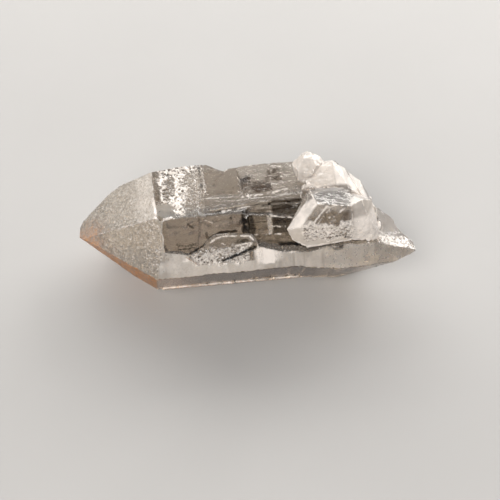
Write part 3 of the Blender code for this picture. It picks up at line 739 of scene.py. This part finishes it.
VEIL_HALF_THICKNESS = 0.03  # in the middle
VEIL_RINGS, VEIL_SPOKES = 5, 22
VEIL_RAGGED = 0.25
VEIL_WRINKLE, WRINKLES_PER_MM = 0.35, 0.9
VEIL_CLEARANCE = 0.25  # from the stone's surface
VEIL_SEED = 5
VEIL_TURNS, VEIL_TILTS = 8, 14  # degrees that they vary by
VEIL_SIZES = (0.45, 1.1)
VEILS = [
    # azimuth, middle (x, w, height), half length and width, turn and tilt in degrees, how many and
    # how far they scatter
    (FRONT, (-12, 3, -3.5), 2.2, 0.7, 20, 40, 7, (3.5, 2, 1.5)),
    (FRONT, (-3.5, 3.5, -4), 2.6, 0.5, 5, 30, 7, (2.5, 2, 1.5)),
    (FRONT, (7, 1.5, -4), 3, 0.45, 2, 25, 14, (6, 2.6, 1.6)),
    (TOP, (4.5, 1, -2.2), 1.6, 0.5, 8, 35, 14, (5, 2.2, 1)),
    (FRONT, (13.5, 3.4, 2), 2.6, 0.35, 40, 35, 9, (3, 2, 0.6)),
    (FRONT, (3, -4.2, -2), 2.5, 0.35, 3, 30, 9, (10, 1, 0.7)),
]


def veil(place, along, across, out, half_length, half_width, chance):
    """The points of one thin wrinkled lens."""
    ragged = 1 + VEIL_RAGGED * chance.standard_normal(VEIL_SPOKES)
    points = []
    for side in (1, -1):
        points.append(place + out * side * VEIL_HALF_THICKNESS)
        for step in range(1, VEIL_RINGS):
            ring = step / VEIL_RINGS
            for k in range(VEIL_SPOKES):
                a = 2 * math.pi * k / VEIL_SPOKES
                reach = ring * (1 + (ragged[k] - 1) * ring)
                flat = along * math.cos(a) * half_length * reach + across * math.sin(a) * half_width * reach
                wrinkle = noise.noise(Vector((place + flat) * WRINKLES_PER_MM)) * VEIL_WRINKLE
                points.append(place + flat + out * (wrinkle + side * VEIL_HALF_THICKNESS * (1 - ring)))
    return points


def veil_faces(start):
    """Faces of a lens whose points begin at that index: two fans and bands, joined at the rim."""
    count = VEIL_SPOKES
    layer = 1 + count * (VEIL_RINGS - 1)
    faces = []
    for side in (0, 1):
        base = start + side * layer
        for k in range(count):
            after = (k + 1) % count
            wedge = [(base, base + 1 + k, base + 1 + after)]
            for ring in range(VEIL_RINGS - 2):
                a = base + 1 + ring * count
                b = a + count
                wedge.append((a + k, b + k, b + after, a + after))
            faces += [f[::-1] for f in wedge] if side else wedge
    rim = 1 + (VEIL_RINGS - 2) * count
    for k in range(count):
        after = (k + 1) % count
        upper, lower = start + rim, start + layer + rim
        faces.append((upper + k, lower + k, lower + after, upper + after))
    return faces


def inside_stone(tree, points):
    """Whether all the points lie in the stone, well clear of its surface."""
    for p in points:
        at = Vector(p * MM)
        near, normal, _, distance = tree.find_nearest(at)
        if (at - near).dot(normal) > 0 or distance < VEIL_CLEARANCE * MM:
            return False
    return True


def scattered_veil(azimuth, middle, half_length, half_width, turn, tilt, scatter, chance):
    """The points of one veil at a chance place, turn, tilt and size."""
    a = math.radians(azimuth)
    axes = np.array(((1, 0, 0), (0, math.sin(a), math.cos(a)), direction(azimuth)))
    x, w, height = np.array(middle) + chance.uniform(-1, 1, 3) * np.array(scatter)
    place = AXIS + axes[0] * x + axes[1] * w + axes[2] * (height + PRISM[azimuth])
    t = math.radians(turn + chance.normal(0, VEIL_TURNS))
    lean = math.radians(tilt + chance.normal(0, VEIL_TILTS))
    along = axes[0] * math.cos(t) + axes[1] * math.sin(t)
    flat_across = axes[1] * math.cos(t) - axes[0] * math.sin(t)
    across = flat_across * math.cos(lean) + axes[2] * math.sin(lean)
    out = np.cross(along, across)
    size = chance.uniform(*VEIL_SIZES)
    return veil(place, along, across, out, half_length * size, half_width * size, chance)


def veils(stone):
    """Healed cracks in the clear parts: thin lenses that stay clear of the surface."""
    chance = np.random.default_rng(VEIL_SEED)
    tree = BVHTree.FromObject(stone, bpy.context.evaluated_depsgraph_get())
    all_points, all_faces = [], []
    for azimuth, middle, half_length, half_width, turn, tilt, count, scatter in VEILS:
        for _ in range(count):
            points = scattered_veil(azimuth, middle, half_length, half_width, turn, tilt, scatter, chance)
            if inside_stone(tree, points):
                all_faces += veil_faces(len(all_points))
                all_points += points
    mesh = bpy.data.meshes.new("veils")
    mesh.from_pydata([tuple(p * MM) for p in all_points], [], all_faces)
    mesh.shade_smooth()
    return placed_object("inner_veils", mesh)


# ------ materials


class Nodes:
    """Short calls for building a node tree."""

    def __init__(self, material):
        material.use_nodes = True
        self.tree = material.node_tree
        self.tree.nodes.clear()

    def add(self, kind, inputs, **settings):
        """A shader node; each input is a value, or another node's output to link."""
        node = self.tree.nodes.new("ShaderNode" + kind)
        for name, value in settings.items():
            setattr(node, name, value)
        for name, value in inputs.items():
            if isinstance(value, bpy.types.NodeSocket):
                self.tree.links.new(value, node.inputs[name])
            else:
                node.inputs[name].default_value = value
        return node

    def look(self, name):
        """A value stored at the mesh's points."""
        return self.add("Attribute", {}, attribute_name=name).outputs["Fac"]

    def math(self, operation, a, b, clamp=False):
        return self.add("Math", {0: a, 1: b}, operation=operation, use_clamp=clamp).outputs[0]

    def times(self, a, b, clamp=False):
        return self.math("MULTIPLY", a, b, clamp)

    def mix(self, factor, a, b):
        """A mix of two colours."""
        return self.add("Mix", {0: factor, 6: a, 7: b}, data_type="RGBA").outputs[2]

    def mix_value(self, factor, a, b):
        return self.add("Mix", {0: factor, 2: a, 3: b}, data_type="FLOAT").outputs[0]

    def place(self, stretch):
        """Places in the object's own coordinates, stretched where wanted."""
        place = self.add("TexCoord", {}).outputs["Object"]
        if not stretch:
            return place
        return self.add("Mapping", {"Vector": place, "Scale": stretch}).outputs[0]

    def noise(self, scale, detail=3.0, roughness=0.5, stretch=None):
        inputs = {"Vector": self.place(stretch), "Scale": scale, "Detail": detail, "Roughness": roughness}
        return self.add("TexNoise", inputs).outputs[0]

    def cells(self, scale, stretch=None, distance="EUCLIDEAN"):
        """A random value for each of many small cells."""
        inputs = {"Vector": self.place(stretch), "Scale": scale}
        texture = self.add("TexVoronoi", inputs, distance=distance)
        return self.add("SeparateColor", {"Color": texture.outputs["Color"]}).outputs[0]

    def range(self, value, low, high, to_low=0.0, to_high=1.0):
        """The value, with low to high mapped to the other two limits and held there."""
        inputs = {"Value": value, "From Min": low, "From Max": high, "To Min": to_low, "To Max": to_high}
        return self.add("MapRange", inputs, clamp=True).outputs[0]

    def output(self, **shaders):
        """Puts a surface shader, and a volume where there is one, on the material."""
        inputs = {name: shader.outputs[0] for name, shader in shaders.items()}
        self.add("OutputMaterial", inputs)


CLEAR = (0.93, 0.90, 0.87, 1.0)
MILKY = (0.92, 0.85, 0.785, 1.0)
ETCHED = (0.72, 0.63, 0.49, 1.0)
SMOKY = (0.07, 0.052, 0.042, 1.0)
SHADE = (0.003, 0.002, 0.0015, 1.0)
FLECK = (0.050, 0.028, 0.017, 1.0)
SPARKLE = (0.97, 0.92, 0.87, 1.0)
GRIT_SHADE = (0.36, 0.32, 0.26, 1.0)
IRON = (0.66, 0.26, 0.05, 1.0)
IRON_DEEP = (0.20, 0.06, 0.008, 1.0)
SHADE_CONTRAST = 3.0  # light passes a tint twice in clear stone, so shade starts early
ABSORPTION_COLOUR = (0.76, 0.69, 0.58, 1.0)
ABSORPTION_DENSITY = 115.0  # per metre
QUARTZ_IOR = 1.55
CLOUDY_SOLID, RUST_SOLID, ETCHED_SOLID, SPARKLE_SOLID = 0.85, 0.85, 0.45, 0.9  # 1 is opaque
CLEAR_ROUGHNESS, FROST_ROUGHNESS, GLITTER_ROUGHNESS = 0.045, 0.48, 0.16
BUMP_STRENGTH, BUMP_DISTANCE = 0.35, 0.0001
VEIL_PALE = (0.95, 0.93, 0.90, 1.0)
VEIL_TAN = (0.70, 0.60, 0.52, 1.0)
FLOOR_DIM = (0.38, 0.372, 0.362, 1.0)
FLOOR_PALE = (0.41, 0.402, 0.392, 1.0)
VEIL_ROUGHNESS, FLOOR_ROUGHNESS = 0.25, 0.6

# Noises: features per metre, detail, roughness and stretch
CLOUD = (420.0, 5.0, 0.6)
MOTTLE = (1600.0, 4.0, 0.6)
FINE_BUMPS = (6500.0, 2.0, 0.6)
GROWTH_LINES = (900.0, 3.0, 0.6, (1.0, 0.08, 0.08))
BANDS = (520.0, 2.0, 0.6, (1.0, 0.08, 0.08))
THREADS = (2000.0, 3.0, 0.65, (0.05, 1.0, 1.0))
FLECKS = (3000.0, 3.0, 0.75)
FLECK_PATCHES = (300.0, 3.0, 0.6, (0.6, 1.0, 1.0))
VEIL_TINTS = (700.0,)
VEIL_WISPS = (1500.0, 4.0, 0.7)
FLOOR_CLOUDS = (30.0, 4.0)
# Cells: how many per metre, stretch and measure of distance
DASHES = (1500.0, (0.40, 1.0, 1.0), "CHEBYCHEV")
GRIT = (4800.0,)


class Quartz:
    """What the quartz's shader takes, from the looks stored at the mesh's points."""

    def __init__(self, nodes):
        n = self.nodes = nodes
        self.look = {name: n.look(name) for name in LOOKS}
        self.mottle = n.noise(*MOTTLE)
        self.cloudy = n.times(self.look["milk"], n.range(n.noise(*CLOUD), 0.25, 0.75, 0.70, 1.25), True)
        self.etched = n.times(self.look["frost"], n.range(self.mottle, 0.35, 0.65, 0.35, 0.9), True)
        grit = n.cells(*GRIT)
        self.bright = n.times(self.look["grit"], n.range(grit, 0.70, 0.95, 0.0, 0.72))
        self.dim = n.times(self.look["grit"], n.range(grit, 0.42, 0.12, 0.0, 0.60))

    def smoke(self):
        """Smoke in threads and dashes along the stone and bands across it."""
        n = self.nodes
        streaky = n.math("ADD", n.times(n.noise(*THREADS), 0.65), n.times(n.noise(*BANDS), 0.35))
        dashes = n.range(n.cells(*DASHES), 0.45, 0.85, 0.1, 0.8)
        uneven = n.math("MAXIMUM", n.range(streaky, 0.46, 0.56, 0.15, 1.0), dashes)
        return n.times(self.look["smoke"], uneven, True)

    def specks(self):
        n = self.nodes
        flecks = n.range(n.noise(*FLECKS), 0.47, 0.55)
        patches = n.range(n.noise(*FLECK_PATCHES), 0.34, 0.46)
        return n.times(self.look["specks"], n.times(flecks, patches), True)

    def colour(self):
        """Clear, milky and etched quartz, then smoke, flecks, grit, rust and shade over it."""
        n = self.nodes
        colour = n.mix(self.cloudy, CLEAR, MILKY)
        colour = n.mix(self.etched, colour, n.mix(self.look["milk"], ETCHED, MILKY))
        colour = n.mix(self.smoke(), colour, SMOKY)
        colour = n.mix(self.specks(), colour, FLECK)
        colour = n.mix(self.bright, colour, SPARKLE)
        colour = n.mix(self.dim, colour, GRIT_SHADE)
        rust = n.mix(n.range(self.mottle, 0.4, 0.6), IRON_DEEP, IRON)
        stained = n.times(self.look["stain"], n.range(self.mottle, 0.3, 0.7, 0.70, 1.0), True)
        colour = n.mix(stained, colour, rust)
        lit = n.math("SUBTRACT", 1.0, self.look["dark"], True)
        return n.mix(n.math("POWER", lit, SHADE_CONTRAST), SHADE, colour)

    def roughness(self):
        n = self.nodes
        roughness = n.mix_value(self.look["frost"], CLEAR_ROUGHNESS, FROST_ROUGHNESS)
        roughness = n.math("ADD", roughness, n.range(self.mottle, 0.3, 0.7, -0.04, 0.06))
        return n.mix_value(self.look["glitter"], roughness, GLITTER_ROUGHNESS)

    def transmission(self):
        """Less where the stone is cloudy, stained, etched or sparkling."""
        n = self.nodes
        solid = n.times(self.cloudy, CLOUDY_SOLID)
        solid = n.math("MAXIMUM", solid, n.times(self.look["stain"], RUST_SOLID))
        solid = n.math("MAXIMUM", solid, n.times(self.etched, ETCHED_SOLID))
        solid = n.math("MAXIMUM", solid, n.times(self.bright, SPARKLE_SOLID))
        return n.math("SUBTRACT", 1.0, solid, True)

    def normal(self):
        """The finest etching and growth lines, as a bump."""
        n = self.nodes
        etching = n.times(n.noise(*FINE_BUMPS), n.mix_value(self.look["frost"], 0.15, 1.0))
        lines = n.times(n.noise(*GROWTH_LINES), 0.25)
        relief = n.math("ADD", etching, lines)
        inputs = {"Strength": BUMP_STRENGTH, "Distance": BUMP_DISTANCE, "Height": relief}
        return n.add("Bump", inputs).outputs[0]


def quartz_material():
    material = bpy.data.materials.new("quartz_finish")
    n = Nodes(material)
    quartz = Quartz(n)
    inputs = {
        "Base Color": quartz.colour(),
        "Roughness": quartz.roughness(),
        "IOR": QUARTZ_IOR,
        "Transmission Weight": quartz.transmission(),
        "Normal": quartz.normal(),
    }
    shader = n.add("BsdfPrincipled", inputs)
    inputs = {"Color": ABSORPTION_COLOUR, "Density": ABSORPTION_DENSITY}
    n.output(Surface=shader, Volume=n.add("VolumeAbsorption", inputs))
    return material


def veil_material():
    material = bpy.data.materials.new("veil_finish")
    n = Nodes(material)
    colour = n.mix(n.noise(*VEIL_TINTS), VEIL_PALE, VEIL_TAN)
    wisps = n.range(n.noise(*VEIL_WISPS), 0.42, 0.62, 0.05, 0.75)
    inputs = {"Base Color": colour, "Roughness": VEIL_ROUGHNESS, "Alpha": wisps}
    n.output(Surface=n.add("BsdfPrincipled", inputs))
    return material


def floor_material():
    material = bpy.data.materials.new("floor_finish")
    n = Nodes(material)
    colour = n.mix(n.noise(*FLOOR_CLOUDS), FLOOR_DIM, FLOOR_PALE)
    inputs = {"Base Color": colour, "Roughness": FLOOR_ROUGHNESS}
    n.output(Surface=n.add("BsdfPrincipled", inputs))
    return material


# ------ floor, light and camera, in metres where nothing else is said

FLOOR_SIZE = 12.0
FLOOR_GAP = 0.00005  # keeps the floor clear of the crystal's lowest face
LIGHTS_AIM = (0, 0, 0.01)
SOFTBOXES = [
    # name, direction, distance and size in metres, watts and colour
    ("window", (0.0, 0.86, 0.50), 0.55, (1.00, 0.22), 4.7, (1.0, 0.98, 0.95)),
    ("side", (0.72, 0.56, 0.42), 0.55, (0.28, 0.28), 2.0, (1.0, 0.98, 0.96)),
    ("overhead", (-0.35, -0.60, 0.72), 0.65, (0.40, 0.40), 4.5, (1.0, 0.97, 0.94)),
]
WORLD_COLOUR = (0.90, 0.93, 1.0, 1.0)
WORLD_STRENGTH = 0.16
CAMERA_PLACE = (-20.06, -183.00, 221.63)  # millimetres in the row frame
CAMERA_AIM = (0.94, -4.25, 7.14)
CAMERA_LENS, CAMERA_SENSOR = 97.39, 36.0  # millimetres
CAMERA_NEAR = 0.01


def floor():
    mesh = bpy.data.meshes.new("floor")
    half = FLOOR_SIZE / 2
    corners = [(-half, -half), (half, -half), (half, half), (-half, half)]
    mesh.from_pydata([(x, y, -FLOOR_GAP) for x, y in corners], [], [(0, 1, 2, 3)])
    mesh.materials.append(floor_material())
    obj = placed_object("floor", mesh)


def softbox(name, towards, distance, size, watts, colour):
    light = bpy.data.lights.new(name, "AREA")
    light.shape = "RECTANGLE"
    light.size, light.size_y = size
    light.energy = watts
    light.color = colour
    obj = placed_object(name, light)
    aim = Vector(towards).normalized()
    obj.location = aim * distance + Vector(LIGHTS_AIM)
    obj.rotation_euler = aim.to_track_quat("Z", "Y").to_euler()


def world_light():
    world = bpy.data.worlds.new("studio")
    world.use_nodes = True
    background = world.node_tree.nodes["Background"]
    background.inputs["Color"].default_value = WORLD_COLOUR
    background.inputs["Strength"].default_value = WORLD_STRENGTH
    bpy.context.scene.world = world


def camera():
    data = bpy.data.cameras.new("camera")
    data.lens = CAMERA_LENS
    data.sensor_width = CAMERA_SENSOR
    data.clip_start = CAMERA_NEAR
    obj = placed_object("camera", data)
    place, aim = Vector(CAMERA_PLACE) * MM, Vector(CAMERA_AIM) * MM
    obj.location = place
    obj.rotation_euler = (place - aim).to_track_quat("Z", "Y").to_euler()
    bpy.context.scene.camera = obj


stone = crystal()
stone.data.materials.append(quartz_material())
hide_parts(NODE)
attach(stone, "root")

cracks = veils(stone)
cracks.data.materials.append(veil_material())
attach(cracks, "root")

floor()
for row in SOFTBOXES:
    softbox(*row)
world_light()
camera()
bpy.context.scene.view_settings.view_transform = "Standard"
